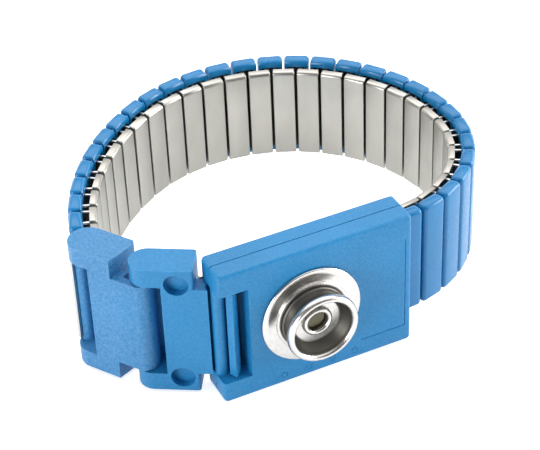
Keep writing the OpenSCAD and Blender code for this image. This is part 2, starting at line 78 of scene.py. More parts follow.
class NodeBench:
    """Adds nodes to one tree and wires them, so that a graph reads as a list of steps."""

    mix_inputs = (0, 6, 7)  # The Mix node's factor and its two colours.
    mix_output = 2

    def __init__(self, tree: bpy.types.NodeTree) -> None:
        """Starts an empty tree.

        Args:
            tree: The node tree to fill.
        """
        self.tree = tree
        self.tree.nodes.clear()

    def add(self, kind: str, *sources: object, **values: object) -> Node:
        """Adds a node, sets its properties and input defaults, and feeds its first inputs.

        Args:
            kind: The node's type name.
            *sources: What goes into the first inputs, in order, as link takes it.
            **values: Properties by name, and input sockets by name with spaces as underscores.

        Returns:
            The new node.
        """
        node = self.tree.nodes.new(kind)
        for key, value in values.items():
            socket = node.inputs.get(key.replace("_", " "))
            if socket is not None:
                socket.default_value = value
            else:
                setattr(node, key, value)
        for source, target in zip(sources, node.inputs):
            self.link(source, target)
        return node

    def link(self, source: object, target: Socket) -> None:
        """Wires a socket to an input, or sets the input to a number, a vector or a colour.

        Args:
            source: A socket, a number, or three numbers.
            target: The input; a colour's fourth number is 1.
        """
        if isinstance(source, bpy.types.NodeSocket):
            self.tree.links.new(source, target)
        elif isinstance(source, (int, float)):
            target.default_value = source
        else:
            target.default_value = (*source, 1.0)[:len(target.default_value)]

    def math(self, operation: str, *inputs: object) -> Socket:
        """Adds a Math node, or several where there are more than two inputs to fold.

        Args:
            operation: The operation's name.
            *inputs: Sockets or numbers, in order.

        Returns:
            The last node's output.
        """
        while len(inputs) > 2:
            inputs = (self.math(operation, *inputs[:2]), *inputs[2:])
        return self.add("ShaderNodeMath", *inputs, operation=operation).outputs[0]

    def mix(self, factor: object, first: object, second: object) -> Socket:
        """Mixes two colours.

        Args:
            factor: A socket or a number.
            first: A socket or an RGB colour.
            second: A socket or an RGB colour.

        Returns:
            The mixed colour's output.
        """
        node = self.add("ShaderNodeMix", data_type="RGBA")
        for place, value in zip(self.mix_inputs, (factor, first, second)):
            self.link(value, node.inputs[place])
        return node.outputs[self.mix_output]

    def spread(self, value: Socket, low: float, high: float,
               to_low: float = 0.0, to_high: float = 1.0) -> Socket:
        """A value mapped from low and high to to_low and to_high, clamped between them."""
        return self.add("ShaderNodeMapRange", value, low, high, to_low, to_high).outputs[0]

    def dot(self, first: Socket, second: object) -> Socket:
        """The dot product of a vector's socket with another, or with three numbers."""
        node = self.add("ShaderNodeVectorMath", first, second, operation="DOT_PRODUCT")
        return node.outputs["Value"]


class EffectGroup(NodeBench):
    """A shader node group that reads object coordinates and named values."""

    def __init__(self, name: str, inputs: dict[str, float], outputs: Sequence[str]) -> None:
        """Starts the group.

        Args:
            name: The group's name.
            inputs: Default values of the value sockets, by name.
            outputs: Names of the value sockets that the group puts out.
        """
        group = bpy.data.node_groups.new(name, "ShaderNodeTree")
        group.interface.new_socket("Place", in_out="INPUT", socket_type="NodeSocketVector")
        for label, value in inputs.items():
            socket = group.interface.new_socket(label, in_out="INPUT",
                                                socket_type="NodeSocketFloat")
            socket.default_value = value
        for label in outputs:
            group.interface.new_socket(label, in_out="OUTPUT", socket_type="NodeSocketFloat")
        super().__init__(group)
        self.start = self.add("NodeGroupInput")
        self.end = self.add("NodeGroupOutput")
        self.place = self.start.outputs["Place"]

    def noise(self, scale: str, detail: float, roughness: float = 0.5,
              place: Socket | None = None) -> Socket:
        """Adds a noise texture.

        Args:
            scale: The group's value that is the noise's scale.
            detail: The noise's detail.
            roughness: The noise's roughness.
            place: The coordinate to read, where it isn't the group's own.

        Returns:
            The noise's output.
        """
        node = self.add("ShaderNodeTexNoise", self.place if place is None else place,
                        Detail=detail, Roughness=roughness)
        self.link(self.start.outputs[scale], node.inputs["Scale"])
        return node.outputs[0]

    def stretched(self, scale: tuple[float, float, float]) -> Socket:
        """The group's place, scaled along its axes."""
        return self.add("ShaderNodeMapping", self.place, Scale=scale).outputs[0]

    def give(self, output: str, value: Socket, low: float = 0.3, high: float = 0.7) -> None:
        """Puts out a noise, spread from low and high to 0 and 1."""
        self.link(self.spread(value, low, high), self.end.inputs[output])


def mould_texture() -> Tree:
    """Builds the spark-eroded texture of a moulded face, with its uneven gloss and tone.

    Returns:
        A group with outputs Height, Gloss and Tone.
    """
    bench = EffectGroup("mould_texture", {"Grain": 2600.0, "Cloud": 260.0, "Drift": 90.0},
                        ("Height", "Gloss", "Tone"))
    bench.give("Height", bench.noise("Grain", 2.0, 0.6))
    bench.give("Gloss", bench.noise("Cloud", 3.0, 0.55))
    bench.give("Tone", bench.noise("Drift", 1.0))
    return bench.tree


def painted_edge_highlight() -> Tree:
    """Builds a mask of painted highlights along rounded edges, broken up by noise.

    Returns:
        A group with output Mask.
    """
    bench = EffectGroup("painted_edge_highlight", {"Reach": 0.00022, "Break": 900.0}, ("Mask",))
    rounded = bench.add("ShaderNodeBevel", bench.start.outputs["Reach"], samples=4)
    facing = bench.add("ShaderNodeNewGeometry").outputs["Normal"]
    # Where the rounding's normal leans away from the face's, the painted edge highlight shows.
    no_highlight, full_highlight = 0.995, 0.86
    edge = bench.spread(bench.dot(rounded.outputs[0], facing), no_highlight, full_highlight)
    grain = bench.spread(bench.noise("Break", 2.0), 0.35, 0.6)
    bench.link(bench.math("MULTIPLY", edge, grain), bench.end.inputs["Mask"])
    return bench.tree


def brushed_lines() -> Tree:
    """Builds the fine lines that a belt leaves on sheet steel, running round the band.

    Returns:
        A group with outputs Height, Gloss and Tone.
    """
    bench = EffectGroup("brushed_lines", {"Grain": 5200.0, "Smudge": 170.0, "Broad": 230.0},
                        ("Height", "Gloss", "Tone"))
    drawn, upright = bench.stretched((0.05, 0.05, 1.0)), bench.stretched((1.0, 1.0, 0.35))
    bench.give("Height", bench.noise("Grain", 3.0, 0.65, drawn), 0.25, 0.75)
    bench.give("Gloss", bench.noise("Smudge", 3.0, 0.6))
    bench.give("Tone", bench.noise("Broad", 2.0, place=upright))
    return bench.tree


@dataclass(frozen=True)
class ShadedPlace:
    """A recess on the stud that gets painted shade and a rougher gloss, between soft limits in
    millimetres.
    """

    radii: tuple[Span, ...]  # Where it fades in, outside and inside.
    depths: tuple[Span, ...]  # Where it fades in along Y.


# The recesses of the stud and its eyelet that get painted shade.
CUP_WALL = ShadedPlace(radii=((4.02, 3.92), (3.0, 3.15)), depths=((-0.6, -0.4),))
NECK = ShadedPlace(radii=((4.75, 4.5), (3.95, 4.05)), depths=((0.1, 0.6),))
UNDER_BEAD = ShadedPlace(radii=((4.3, 4.4),), depths=((1.4, 1.2), (0.02, 0.2)))
BORE = ShadedPlace(radii=((1.5, 1.42),), depths=((1.5, 1.7),))


def turned_rings() -> Tree:
    """Builds the fine rings and spots of a stamped and plated stud.

    Returns:
        A group with outputs Height, Gloss, Tone and ShadedRecess, the mask of the recesses that get
        painted shade and a rougher gloss.
    """
    bench = EffectGroup("turned_rings", {"Grain": 1500.0, "Cloud": 400.0, "Rings": 9000.0},
                        ("Height", "Gloss", "Tone", "ShadedRecess"))
    parts = bench.add("ShaderNodeSeparateXYZ", bench.place).outputs
    squares = [bench.math("MULTIPLY", parts[i], parts[i]) for i in (0, 2)]
    radius, depth = bench.math("SQRT", bench.math("ADD", *squares)), parts[1]
    ringed = bench.add("ShaderNodeCombineXYZ", radius, depth)
    spots = bench.noise("Grain", 4.0)
    rings = bench.noise("Rings", 2.0, place=ringed.outputs[0])
    bench.link(bench.math("MULTIPLY", rings, spots), bench.end.inputs["Height"])
    bench.give("Gloss", bench.noise("Cloud", 2.0))
    bench.give("Tone", spots, 0.35, 0.7)
    masks = []
    # Masks of the recesses that get painted shade.
    for spot in (CUP_WALL, NECK, UNDER_BEAD, BORE):
        limits = [(radius, span) for span in spot.radii] + [(depth, span) for span in spot.depths]
        masks.append(bench.math("MULTIPLY", *[bench.spread(measure, low * MM, high * MM)
                                              for measure, (low, high) in limits]))
    bench.link(bench.math("MAXIMUM", *masks), bench.end.inputs["ShadedRecess"])
    return bench.tree


# --- Finishes ---


class Surface(Enum):
    """The effect that gives a finish its height, gloss and tone."""

    MOULDED = mould_texture.__name__
    BRUSHED = brushed_lines.__name__
    TURNED = turned_rings.__name__


@dataclass(frozen=True)
class Finish:
    """A finish: a mottled colour, uneven gloss and a fine relief, and what lies over them.

    The speck and highlight colour shows in specks on the texture's peaks and as a painted highlight
    along rounded edges. The recess shade colour is painted shade in the stud's recesses.
    """

    name: str
    colour: Colour
    surface: Surface
    grain: float  # The scale of the surface's texture.
    roughness: float
    roughness_spread: float  # What the uneven gloss adds.
    relief: float  # Depth in metres.
    relief_strength: float
    shade: float  # The darker tone, as a share of the colour.
    metallic: float = 1.0
    grazing: float = 1.0  # What the tint keeps at grazing angles.
    # Colour of the grain's paler specks and of the painted highlight along rounded edges.
    speck_and_highlight_colour: Colour | None = None
    speckle: float = 0.0
    # How strongly the painted edge highlight shows.
    edge_highlight: float = 0.0
    # Painted shade for the stud's recesses.
    recess_shade: Colour | None = None
    recess_roughness: float = 0.2  # What the shaded recesses add to the roughness.

    def build(self, effects: dict[str, Tree]) -> bpy.types.Material:
        """Builds the material.

        Args:
            effects: The shared node groups, by their builders' names.

        Returns:
            The material.
        """
        material = bpy.data.materials.new(self.name)
        material.use_nodes = True
        bench = NodeBench(material.node_tree)
        place = bench.add("ShaderNodeTexCoord").outputs["Object"]
        given = bench.add("ShaderNodeGroup", place, node_tree=effects[self.surface.value],
                          Grain=self.grain).outputs
        dim = tuple(self.shade * c for c in self.colour)
        body = bench.mix(given["Tone"], dim, self.colour)
        rough = bench.spread(given["Gloss"], 0.0, 1.0, self.roughness,
                             self.roughness + self.roughness_spread)
        if self.speck_and_highlight_colour is not None:
            edges = bench.add("ShaderNodeGroup", place, node_tree=effects[painted_edge_highlight.__name__])
            # Paler specks on the grain's peaks, then a painted highlight along rounded edges.
            for mask, share in ((given["Height"], self.speckle),
                                (edges.outputs["Mask"], self.edge_highlight)):
                body = bench.mix(bench.math("MULTIPLY", mask, share), body, self.speck_and_highlight_colour)
        # Painted shade in the stud's recesses, with a rougher gloss there.
        if self.recess_shade is not None:
            body = bench.mix(given["ShadedRecess"], body, self.recess_shade)
            more = bench.math("MULTIPLY", given["ShadedRecess"], self.recess_roughness)
            rough = bench.math("ADD", rough, more)
        shader = bench.add("ShaderNodeBsdfPrincipled", Metallic=self.metallic,
                           Specular_Tint=(*[self.grazing] * 3, 1.0))
        bench.link(body, shader.inputs["Base Color"])
        bench.link(rough, shader.inputs["Roughness"])
        bump = bench.add("ShaderNodeBump", Strength=self.relief_strength, Distance=self.relief)
        bench.link(given["Height"], bump.inputs["Height"])
        bench.link(bump.outputs[0], shader.inputs["Normal"])
        bench.add("ShaderNodeOutputMaterial", shader.outputs[0])
        return material


# Paler specks on the grain, and a painted highlight along the edges.
MOULDED = Finish(
    "moulded_blue", (0.002, 0.205, 0.485), Surface.MOULDED, grain=3200.0, roughness=0.38,
    roughness_spread=0.14, relief=0.00003, relief_strength=0.6, shade=0.88, metallic=0.0,
    speck_and_highlight_colour=(0.06, 0.36, 0.68), speckle=0.32, edge_highlight=0.5)
# The end link's plastic with a painted sheen: paler specks and a paler edge colour over its faces.
PAINTED_SHEEN_BLUE = replace(MOULDED, name="painted_sheen_blue", speck_and_highlight_colour=(0.24, 0.46, 0.75), speckle=0.38,
                 edge_highlight=0.4)
# The caps' edges carry a fainter painted highlight.
CAPPED = replace(
    MOULDED, name="cap_blue", colour=(0.006, 0.204, 0.48), grain=1400.0, roughness=0.2,
    roughness_spread=0.1, relief=0.000005, speck_and_highlight_colour=(0.12, 0.39, 0.72), speckle=0.05,
    edge_highlight=0.25)
SLEEVED = Finish(
    "sleeve_steel", (0.56, 0.555, 0.51), Surface.BRUSHED, grain=5200.0, roughness=0.3,
    roughness_spread=0.15, relief=0.000008, relief_strength=0.5, shade=0.85)
# The outer sleeves' steel, painted near black as the shade in the hollow between the caps and the
# inner sleeves.
SHADE_DARK_STEEL = replace(SLEEVED, name="shade_dark_steel", colour=(0.045, 0.043, 0.038), roughness=0.45)
WIRED = replace(SLEEVED, name="bow_steel", colour=(0.85, 0.85, 0.83), roughness=0.25)
PLATED = replace(SLEEVED, name="plate_steel", colour=(0.62, 0.62, 0.60), roughness=0.22)
# Near black painted shade in the cup, the neck, under the bead and in the bore.
STUDDED = Finish(
    "stud_nickel", (0.72, 0.71, 0.69), Surface.TURNED, grain=1500.0, roughness=0.2,
    roughness_spread=0.1, relief=0.000006, relief_strength=0.35, shade=0.9, grazing=0.5,
    recess_shade=(0.15, 0.145, 0.13))
# The eyelet's bore gets the same painted shade.
EYELETED = replace(STUDDED, name="eyelet_nickel", colour=(0.74, 0.73, 0.70), roughness=0.22,
                   recess_shade=(0.17, 0.16, 0.115))
FINISHES = (MOULDED, PAINTED_SHEEN_BLUE, CAPPED, SLEEVED, SHADE_DARK_STEEL, WIRED, PLATED, STUDDED, EYELETED)


# --- Making pieces ---


def turned(angle: float, at: Vector) -> Matrix:
    """A place in plan: local X along the angle in degrees, at a point in millimetres."""
    return Matrix.Translation(at) @ Matrix.Rotation(math.radians(angle), 4, "Z")


def block(low: Sequence[float], high: Sequence[float]) -> Shape:
    """Makes a box.

    Args:
        low: The lowest corner.
        high: The highest corner.

    Returns:
        The box.
    """
    shape = bmesh.new()
    bmesh.ops.create_cube(shape, size=1.0)
    size, middle = Vector(high) - Vector(low), (Vector(high) + Vector(low)) / 2
    bmesh.ops.scale(shape, vec=size, verts=shape.verts)
    bmesh.ops.translate(shape, vec=middle, verts=shape.verts)
    return shape


def extrude(shape: Shape, faces: Sequence[bmesh.types.BMFace], by: Vector) -> None:
    """Extrudes faces and moves the new ones.

    Args:
        shape: The bmesh.
        faces: The faces to extrude as one region.
        by: How far the new faces move.
    """
    grown = bmesh.ops.extrude_face_region(shape, geom=faces)
    moved = [v for v in grown["geom"] if isinstance(v, bmesh.types.BMVert)]
    bmesh.ops.translate(shape, vec=by, verts=moved)


def ease(shape: Shape, edges: Iterable[Edge], reach: float, steps: int = 3,
         clamp: bool = True) -> None:
    """Rounds edges over a reach; a clamped rounding is held back where it would meet another."""
    bmesh.ops.bevel(shape, geom=list(edges), offset=reach, segments=steps, profile=0.5,
                    affect="EDGES", clamp_overlap=clamp, material=-1)


def edges_along(shape: Shape, along: Along) -> list[Edge]:
    """The straight edges that run along one axis."""
    return [e for e in shape.edges
            if abs((e.verts[0].co - e.verts[1].co).normalized()[along.value]) > 0.99]


def side_edges(shape: Shape) -> list[Edge]:
    """The edges between a face that looks along X and one that doesn't."""
    shape.normal_update()
    return [e for e in shape.edges if len(e.link_faces) == 2
            and max(abs(f.normal.x) for f in e.link_faces) > 0.95
            and min(abs(f.normal.x) for f in e.link_faces) < 0.3]


def join(shape: Shape, other: Shape) -> None:
    """Adds another bmesh's faces to a shape and frees the other.

    Args:
        shape: The bmesh that grows.
        other: The bmesh that it takes in.
    """
    mesh = bpy.data.meshes.new("joined")
    other.to_mesh(mesh)
    other.free()
    shape.from_mesh(mesh)
    bpy.data.meshes.remove(mesh)


def as_object(shape: Shape, name: str) -> bpy.types.Object:
    """Turns a bmesh into an object at the origin, and frees the bmesh.

    Args:
        shape: The bmesh, in metres.
        name: The object's name.

    Returns:
        The object.
    """
    mesh = bpy.data.meshes.new(name)
    shape.to_mesh(mesh)
    shape.free()
    thing = bpy.data.objects.new(name, mesh)
    bpy.context.scene.collection.objects.link(thing)
    return thing


@dataclass(frozen=True)
class Ticket:
    """What a piece is called, how it is finished and what carries it."""

    name: str
    finish: Finish
    body: str  # The body that it rides on.
    slot: str  # The name of the record's material slot for it.
    stands_for: str = ""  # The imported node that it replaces.


class Bench:
    """Finishes pieces: meshes in millimetres become objects in metres that ride on a body.

    Faces that meet at less than a smooth angle, in degrees, are shaded as one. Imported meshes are
    merged within merge millimetres and flattened within flat degrees.
    """

    smooth_modelled = 40.0
    smooth_packed = 35.0
    merge = 0.002
    flat = 0.8

    def __init__(self) -> None:
        """Builds the finishes."""
        effects = {build.__name__: build()
                   for build in (mould_texture, painted_edge_highlight, brushed_lines, turned_rings)}
        self.finishes = {finish: finish.build(effects) for finish in FINISHES}
        self.made = 0

    def piece(self, shape: Shape, ticket: Ticket, place: Matrix | None = None,
              cut: Shape | None = None) -> None:
        """Turns a bmesh into a finished piece.

        Args:
            shape: The bmesh in millimetres; it is freed.
            ticket: What the piece is called, finished with and carried by.
            place: The piece's place, with its origin in millimetres.
            cut: Closed shapes to take out of the piece, in the piece's own frame.
        """
        thing = self._placed(shape, ticket.name, place)
        if cut is not None:
            self._carve(thing, self._placed(cut, "cutter", place))
        self._dress(thing, ticket, self.smooth_modelled)

    @staticmethod
    def _placed(shape: Shape, name: str, place: Matrix | None) -> bpy.types.Object:
        """Puts a bmesh in its place, in metres, as an object at the origin.

        Args:
            shape: The bmesh in millimetres; it is freed.
            name: The object's name.
            place: The place, with its origin in millimetres.

        Returns:
            The object.
        """
        if place is not None:
            bmesh.ops.transform(shape, matrix=place, verts=shape.verts)
        bmesh.ops.scale(shape, vec=(MM, MM, MM), verts=shape.verts)
        bmesh.ops.recalc_face_normals(shape, faces=shape.faces)
        return as_object(shape, name)

    @staticmethod
    def _carve(thing: bpy.types.Object, cutter: bpy.types.Object) -> None:
        """Takes a cutter's shape out of a piece, and removes the cutter.

        Args:
            thing: The piece.
            cutter: What is cut away.
        """
        step = thing.modifiers.new("carving", "BOOLEAN")
        step.operation = "DIFFERENCE"
        step.object = cutter
        step.solver = "EXACT"
        graph = bpy.context.evaluated_depsgraph_get()
        graph.update()
        carved = bpy.data.meshes.new_from_object(thing.evaluated_get(graph))
        thing.modifiers.remove(step)
        carved.polygons.foreach_set("material_index", [0] * len(carved.polygons))
        thing.data = carved
        bpy.data.objects.remove(cutter)

    def _dress(self, thing: bpy.types.Object, ticket: Ticket, smooth: float) -> None:
        """Gives an object its finish and its body.

        Args:
            thing: The object, in place.
            ticket: What it is finished with and carried by.
            smooth: The angle under which neighbouring faces are shaded smooth, in degrees.
        """
        mesh = thing.data
        mesh.materials.clear()
        mesh.materials.append(self.finishes[ticket.finish])
        mesh.polygons.foreach_set("use_smooth", [True] * len(mesh.polygons))
        mesh.set_sharp_from_angle(angle=math.radians(smooth))
        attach(thing, ticket.body)
        if ticket.stands_for:
            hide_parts(ticket.stands_for)
        self.made += 1
        LOG.info("piece %s on %s: %d faces", thing.name, ticket.body, len(mesh.polygons))

    def eased_copy(self, ticket: Ticket, edge: float) -> None:
        """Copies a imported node, merges its triangles and rounds its sharp edges.

        Args:
            ticket: The piece's ticket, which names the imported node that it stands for.
            edge: How far the rounding reaches, in millimetres.
        """
        shape = bmesh.new()
        shape.from_mesh(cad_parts[ticket.stands_for].data)
        bmesh.ops.remove_doubles(shape, verts=shape.verts, dist=self.merge * MM)
        bmesh.ops.dissolve_limit(shape, angle_limit=math.radians(self.flat), verts=shape.verts,
                                 edges=shape.edges)
        thing = as_object(shape, ticket.name)
        rounding = thing.modifiers.new("rounding", "BEVEL")
        rounding.width = edge * MM
        rounding.segments = 3
        rounding.limit_method = "ANGLE"
        rounding.angle_limit = math.radians(self.smooth_packed)
        rounding.harden_normals = True
        self._dress(thing, ticket, self.smooth_packed)


# --- The housing ---


@dataclass(frozen=True)
class Housing:
    """The two moulded shells of the housing, its bar and the plate on its back."""

    length: float = 26.6
    height: float = 20.0
    front: float = 2.6  # Thickness of the front shell.
    back: float = 2.6  # Thickness of the back shell.
    window: float = 3.9  # Length of the window from the left end.
    window_height: float = 13.8
    tuck: float = 0.85  # How far the first cap tucks in at the right end.
    cap_room: float = 16.5  # Height of the notch that the first cap tucks into.
    soft: float = 0.55  # Rounding of the outer edges.
    parting: float = 0.15  # Width of the line between the shells.
    stud_x: float = -1.1  # The stud's place from the housing's middle.
    face: float = 3.2  # Distance from the stud bead's middle to the front face.
    score: float = 0.12  # Width of the scored line on the front.
    score_depth: float = 0.14
    score_gap: float = 0.01  # Gap between the cutters of its two stretches.
    # The scored line's upright stretch: its X, and its lower and upper Z.
    score_right: tuple[float, float, float] = (12.35, -7.25, 6.6)
    score_low: float = 6.0  # The scored line's level stretch: its left end along X.
    cut_proud: float = 0.3  # How far the cutters stand out in front of the face.
    # Places along X of the ring marks near the lower edge.
    marks: tuple[float, ...] = (-5.0, -1.6, 1.8, 5.0)
    marks_z: float = -8.6  # Their place along Z.
    mark_radii: Span = (0.48, 0.34)  # A ring mark's outer and inner radius.
    mark_tall: float = 0.27  # Height of a ring mark's cutter.
    mark_depth: float = 0.07  # How deep it cuts.
    bar_edge: float = 0.1  # Rounding of its edges.
    plate_edge: float = 0.08

    @property
    def place(self) -> Matrix:
        """The housing's own frame, whose origin is the middle of its front face."""
        return Matrix.Translation(Vector((-self.stud_x, self.face, 0.0)))

    @staticmethod
    def _slab(outline: Sequence[Span], low: float, high: float) -> Shape:
        """Extrudes an outline in X and Z along Y.

        Args:
            outline: The corners in order.
            low: Where the slab starts.
            high: Where the slab ends.

        Returns:
            The slab.
        """
        shape = bmesh.new()
        base = shape.faces.new([shape.verts.new((x, low, z)) for x, z in outline])
        extrude(shape, [base], Vector((0.0, high - low, 0.0)))
        bmesh.ops.recalc_face_normals(shape, faces=shape.faces)
        return shape

    def _outline(self, notched: bool) -> list[Span]:
        """Draws a shell, with the window at its left.

        Args:
            notched: Whether it has the first cap's notch at its right.

        Returns:
            The corners in order, in X and Z.
        """
        end, top = self.length / 2, self.height / 2
        window, deep = self.window_height / 2, -end + self.window
        notch, room = end - self.tuck, self.cap_room / 2
        inside = [(end, -room), (notch, -room), (notch, room), (end, room)] if notched else []
        return [(-end, -top), (end, -top), *inside, (end, top), (-end, top), (-end, window),
                (deep, window), (deep, -window), (-end, -window)]

    def _round_outside(self, shape: Shape, outer_y: float) -> None:
        """Rounds a shell's four corners, then the rim of its outer face.

        Args:
            shape: The shell.
            outer_y: Where its outer face lies.
        """
        limits = ((0, self.length / 2), (2, self.height / 2))

        def on_corner(edge: Edge) -> bool:
            """Tells whether an edge runs along Y at one of the four corners."""
            a, b = (v.co for v in edge.verts)
            return abs(a.y - b.y) > 1.0 and all(abs(abs(a[i]) - end) < NEAR for i, end in limits)

        def on_rim(edge: Edge) -> bool:
            """Tells whether an edge of the outer face lies on a side or a rounded corner."""
            a, b = (v.co for v in edge.verts)
            level = all(abs(p.y - outer_y) < NEAR for p in (a, b))
            side = any(abs(abs(a[i]) - end) < NEAR and abs(a[i] - b[i]) < NEAR
                       for i, end in limits)
            corner = all(abs(p[i]) >= end - self.soft - NEAR for p in (a, b) for i, end in limits)
            return level and (side or corner)

        for chosen in (on_corner, on_rim):
            ease(shape, [e for e in shape.edges if chosen(e)], self.soft, 4)

    def _scores(self) -> Shape:
        """Shapes the scored corner line and the ring marks that are cut into the front.

        Returns:
            The closed shapes to cut.
        """
        right, low, high = self.score_right
        wide, proud, deep = self.score / 2, -self.cut_proud, self.score_depth
        shape = block((right - wide, proud, low - wide), (right + wide, deep, high))
        join(shape, block((self.score_low, proud, low - wide),
                          (right - wide - self.score_gap, deep, low + wide)))
        for x in self.marks:
            join(shape, self._ring(Vector((x, 0.0, self.marks_z))))
        return shape

    def _ring(self, at: Vector) -> Shape:
        """Shapes the cutter of a ring mark, about the Y axis.

        Args:
            at: The ring's middle, on the front face.

        Returns:
            The ring.
        """
        shape = bmesh.new()
        for radius in self.mark_radii:
            bmesh.ops.create_circle(shape, cap_ends=False, segments=24, radius=radius)
        bmesh.ops.bridge_loops(shape, edges=shape.edges[:])
        extrude(shape, shape.faces[:], Vector((0.0, 0.0, self.mark_tall)))
        bmesh.ops.translate(shape, vec=Vector((0.0, 0.0, -self.mark_depth)), verts=shape.verts)
        quarter = Matrix.Rotation(math.radians(90.0), 3, "X")
        bmesh.ops.rotate(shape, verts=shape.verts, matrix=quarter)
        bmesh.ops.recalc_face_normals(shape, faces=shape.faces)
        bmesh.ops.translate(shape, verts=shape.verts, vec=at)
        return shape

    def build(self, bench: Bench) -> None:
        """Builds the housing's pieces.

        Args:
            bench: The bench that finishes them.
        """
        full, half_line = self.front + self.back, self.parting / 2
        front = self._slab(self._outline(False), 0.0, self.front - half_line)
        self._round_outside(front, 0.0)
        bench.piece(front, Ticket("housing_front", MOULDED, "housing", "housing_front",
                                  "front_shell"), self.place, self._scores())
        back = self._slab(self._outline(True), self.front + half_line, full)
        self._round_outside(back, full)
        bench.piece(back, Ticket("housing_back", MOULDED, "housing", "housing_back",
                                 "back_shell"), self.place)
        bench.eased_copy(Ticket("housing_bar", MOULDED, "housing", "bar", "housing_bar_pin"),
                         self.bar_edge)
        bench.eased_copy(Ticket("skin_contact", PLATED, "housing", "skin_plate", "skin_plate"),
                         self.plate_edge)


# --- The snap stud ---


@dataclass(frozen=True)
class SnapStud:
    """The male snap stud and its eyelet, turned about the Y axis through the origin."""

    flange: float = 6.84
    bead: float = 4.85
    neck: float = 4.15
    mouth: float = 3.9
    floor: float = 3.25
    height: float = 3.9  # Above the housing's face.
    bead_half: float = 0.7  # Half the bead's height.
    floor_height: float = 1.6  # Height of the cup's floor.
    face: float = 3.2  # Distance from the origin to the housing's face.
    steps: int = 128

    def _turn(self, profile: Sequence[Span]) -> Shape:
        """Spins a profile about the stud's axis.

        Args:
            profile: Points of radius and height above the housing's face.

        Returns:
            The turned shape.
        """
        shape = bmesh.new()
        points = [shape.verts.new((r, self.face - h, 0.0)) for r, h in profile]
        line = [shape.edges.new(pair) for pair in zip(points, points[1:])]
        bmesh.ops.spin(shape, geom=[*points, *line], axis=(0.0, 1.0, 0.0), cent=(0.0, 0.0, 0.0),
                       angle=math.tau, steps=self.steps, use_merge=True)
        bmesh.ops.remove_doubles(shape, verts=shape.verts, dist=NEAR)
        return shape

    @staticmethod
    def _arc(middle: Span, radius: float, start: float, end: float, steps: int) -> list[Span]:
        """Points on an arc of a profile, with angles in degrees."""
        angles = [math.radians(start + (end - start) * i / steps) for i in range(steps + 1)]
        return [(middle[0] + radius * math.cos(a), middle[1] + radius * math.sin(a))
                for a in angles]

    def _stud_profile(self) -> list[Span]:
        """Draws the stud's outside from the flange's edge, over the bead and down to the floor.

        Returns:
            Points of radius and height.
        """
        lip, half = (self.bead - self.mouth) / 2, self.bead_half
        swell = [math.radians(a) for a in range(-60, 181, 15)]
        return [
            (self.flange - 0.3, 0.02),
            *self._arc((self.flange - 0.2, 0.24), 0.2, -70.0, 75.0, 6),
            (self.flange - 0.9, 0.38), (self.flange - 1.5, 0.34), (4.95, 0.42),
            *self._arc((4.85, 0.62), 0.14, -60.0, 60.0, 4),
            (4.55, 0.80),
            *self._arc((self.neck + 0.28, 1.02), 0.26, 270.0, 180.0, 5),
            (self.neck, 1.9),
            *self._arc((self.neck + 0.5, 2.0), 0.5, 180.0, 110.0, 4),
            *[(self.bead - lip + lip * math.cos(a), self.height - half + half * math.sin(a))
              for a in swell],
            (self.mouth - 0.1, 3.0), (self.mouth - 0.45, 2.05),
            *self._arc((self.floor - 0.15, 1.75), 0.15, 0.0, -90.0, 4),
            (2.3, self.floor_height), (1.7, self.floor_height),
        ]

    def _eyelet_profile(self) -> list[Span]:
        """Draws the eyelet's rolled rim and its blind bore.

        Returns:
            Points of radius and height.
        """
        return [
            (2.02, self.floor_height),
            *self._arc((1.68, 1.8), 0.34, -20.0, 170.0, 10),
            (1.3, 1.55), (1.24, 1.15), (1.05, 1.05), (0.0, 1.0),
        ]

    def build(self, bench: Bench) -> None:
        """Builds the stud and its eyelet."""
        bench.piece(self._turn(self._stud_profile()),
                    Ticket("stud_shell", STUDDED, "housing", "stud", "snap_stud"))
        bench.piece(self._turn(self._eyelet_profile()),
                    Ticket("stud_rivet", EYELETED, "housing", "eyelet", "stud_eyelet"))


# --- The clasp ---


@dataclass(frozen=True)
class Clasp:
    """The two moulded links of the clasp and the steel clip on the last bar."""

    edge: float = 0.16  # Rounding of the links' edges.
    clip_edge: float = 0.06  # Rounding of the clip's edges.

    def build(self, bench: Bench) -> None:
        """Builds the clasp's pieces.

        Args:
            bench: The bench that finishes them.
        """
        for ticket, edge in (
            (Ticket("clasp_body", MOULDED, "clasp", "clasp", "clasp_link"), self.edge),
            # The end link carries the painted sheen.
            (Ticket("end_body", PAINTED_SHEEN_BLUE, "end_hinge", "end_link", "end_link"), self.edge),
            (Ticket("band_clip", PLATED, "band_hook", "band_hook", "band_hook"), self.clip_edge),
        ):
            bench.eased_copy(ticket, edge)


# --- The band ---


@dataclass(frozen=True)
class BandPath:
    """The route of the band's outer face: three runs of joints that bend by even steps."""

    start: Span = (12.8, 2.7)  # Where the first link starts, in the housing's frame.
    heading: float = 4.017  # The first link's heading in degrees.
    pitch: float = 4.0
    # For each run, its number of joints and the bend of each.
    runs: tuple[tuple[int, float], ...] = ((7, 12.0), (14, 8.8), (8, 5.9))

    @property
    def links(self) -> int:
        """The number of links."""
        return sum(count for count, _ in self.runs)

    def headings(self) -> list[float]:
        """Works out where each link heads.

        Returns:
            The heading of each link, and of the place where a next one would be.
        """
        found = [self.heading]
        for count, bend in self.runs:
            for _ in range(count):
                found.append(found[-1] + bend)
        return found

    def seams(self) -> list[Vector]:
        """Works out where each link starts.

        Returns:
            The starts on the outer face, and the end of the place after the last link.
        """
        found = [Vector((*self.start, 0.0))]
        for angle in self.headings():
            step = math.radians(angle)
            found.append(found[-1] + self.pitch * Vector((math.cos(step), math.sin(step), 0.0)))
        return found


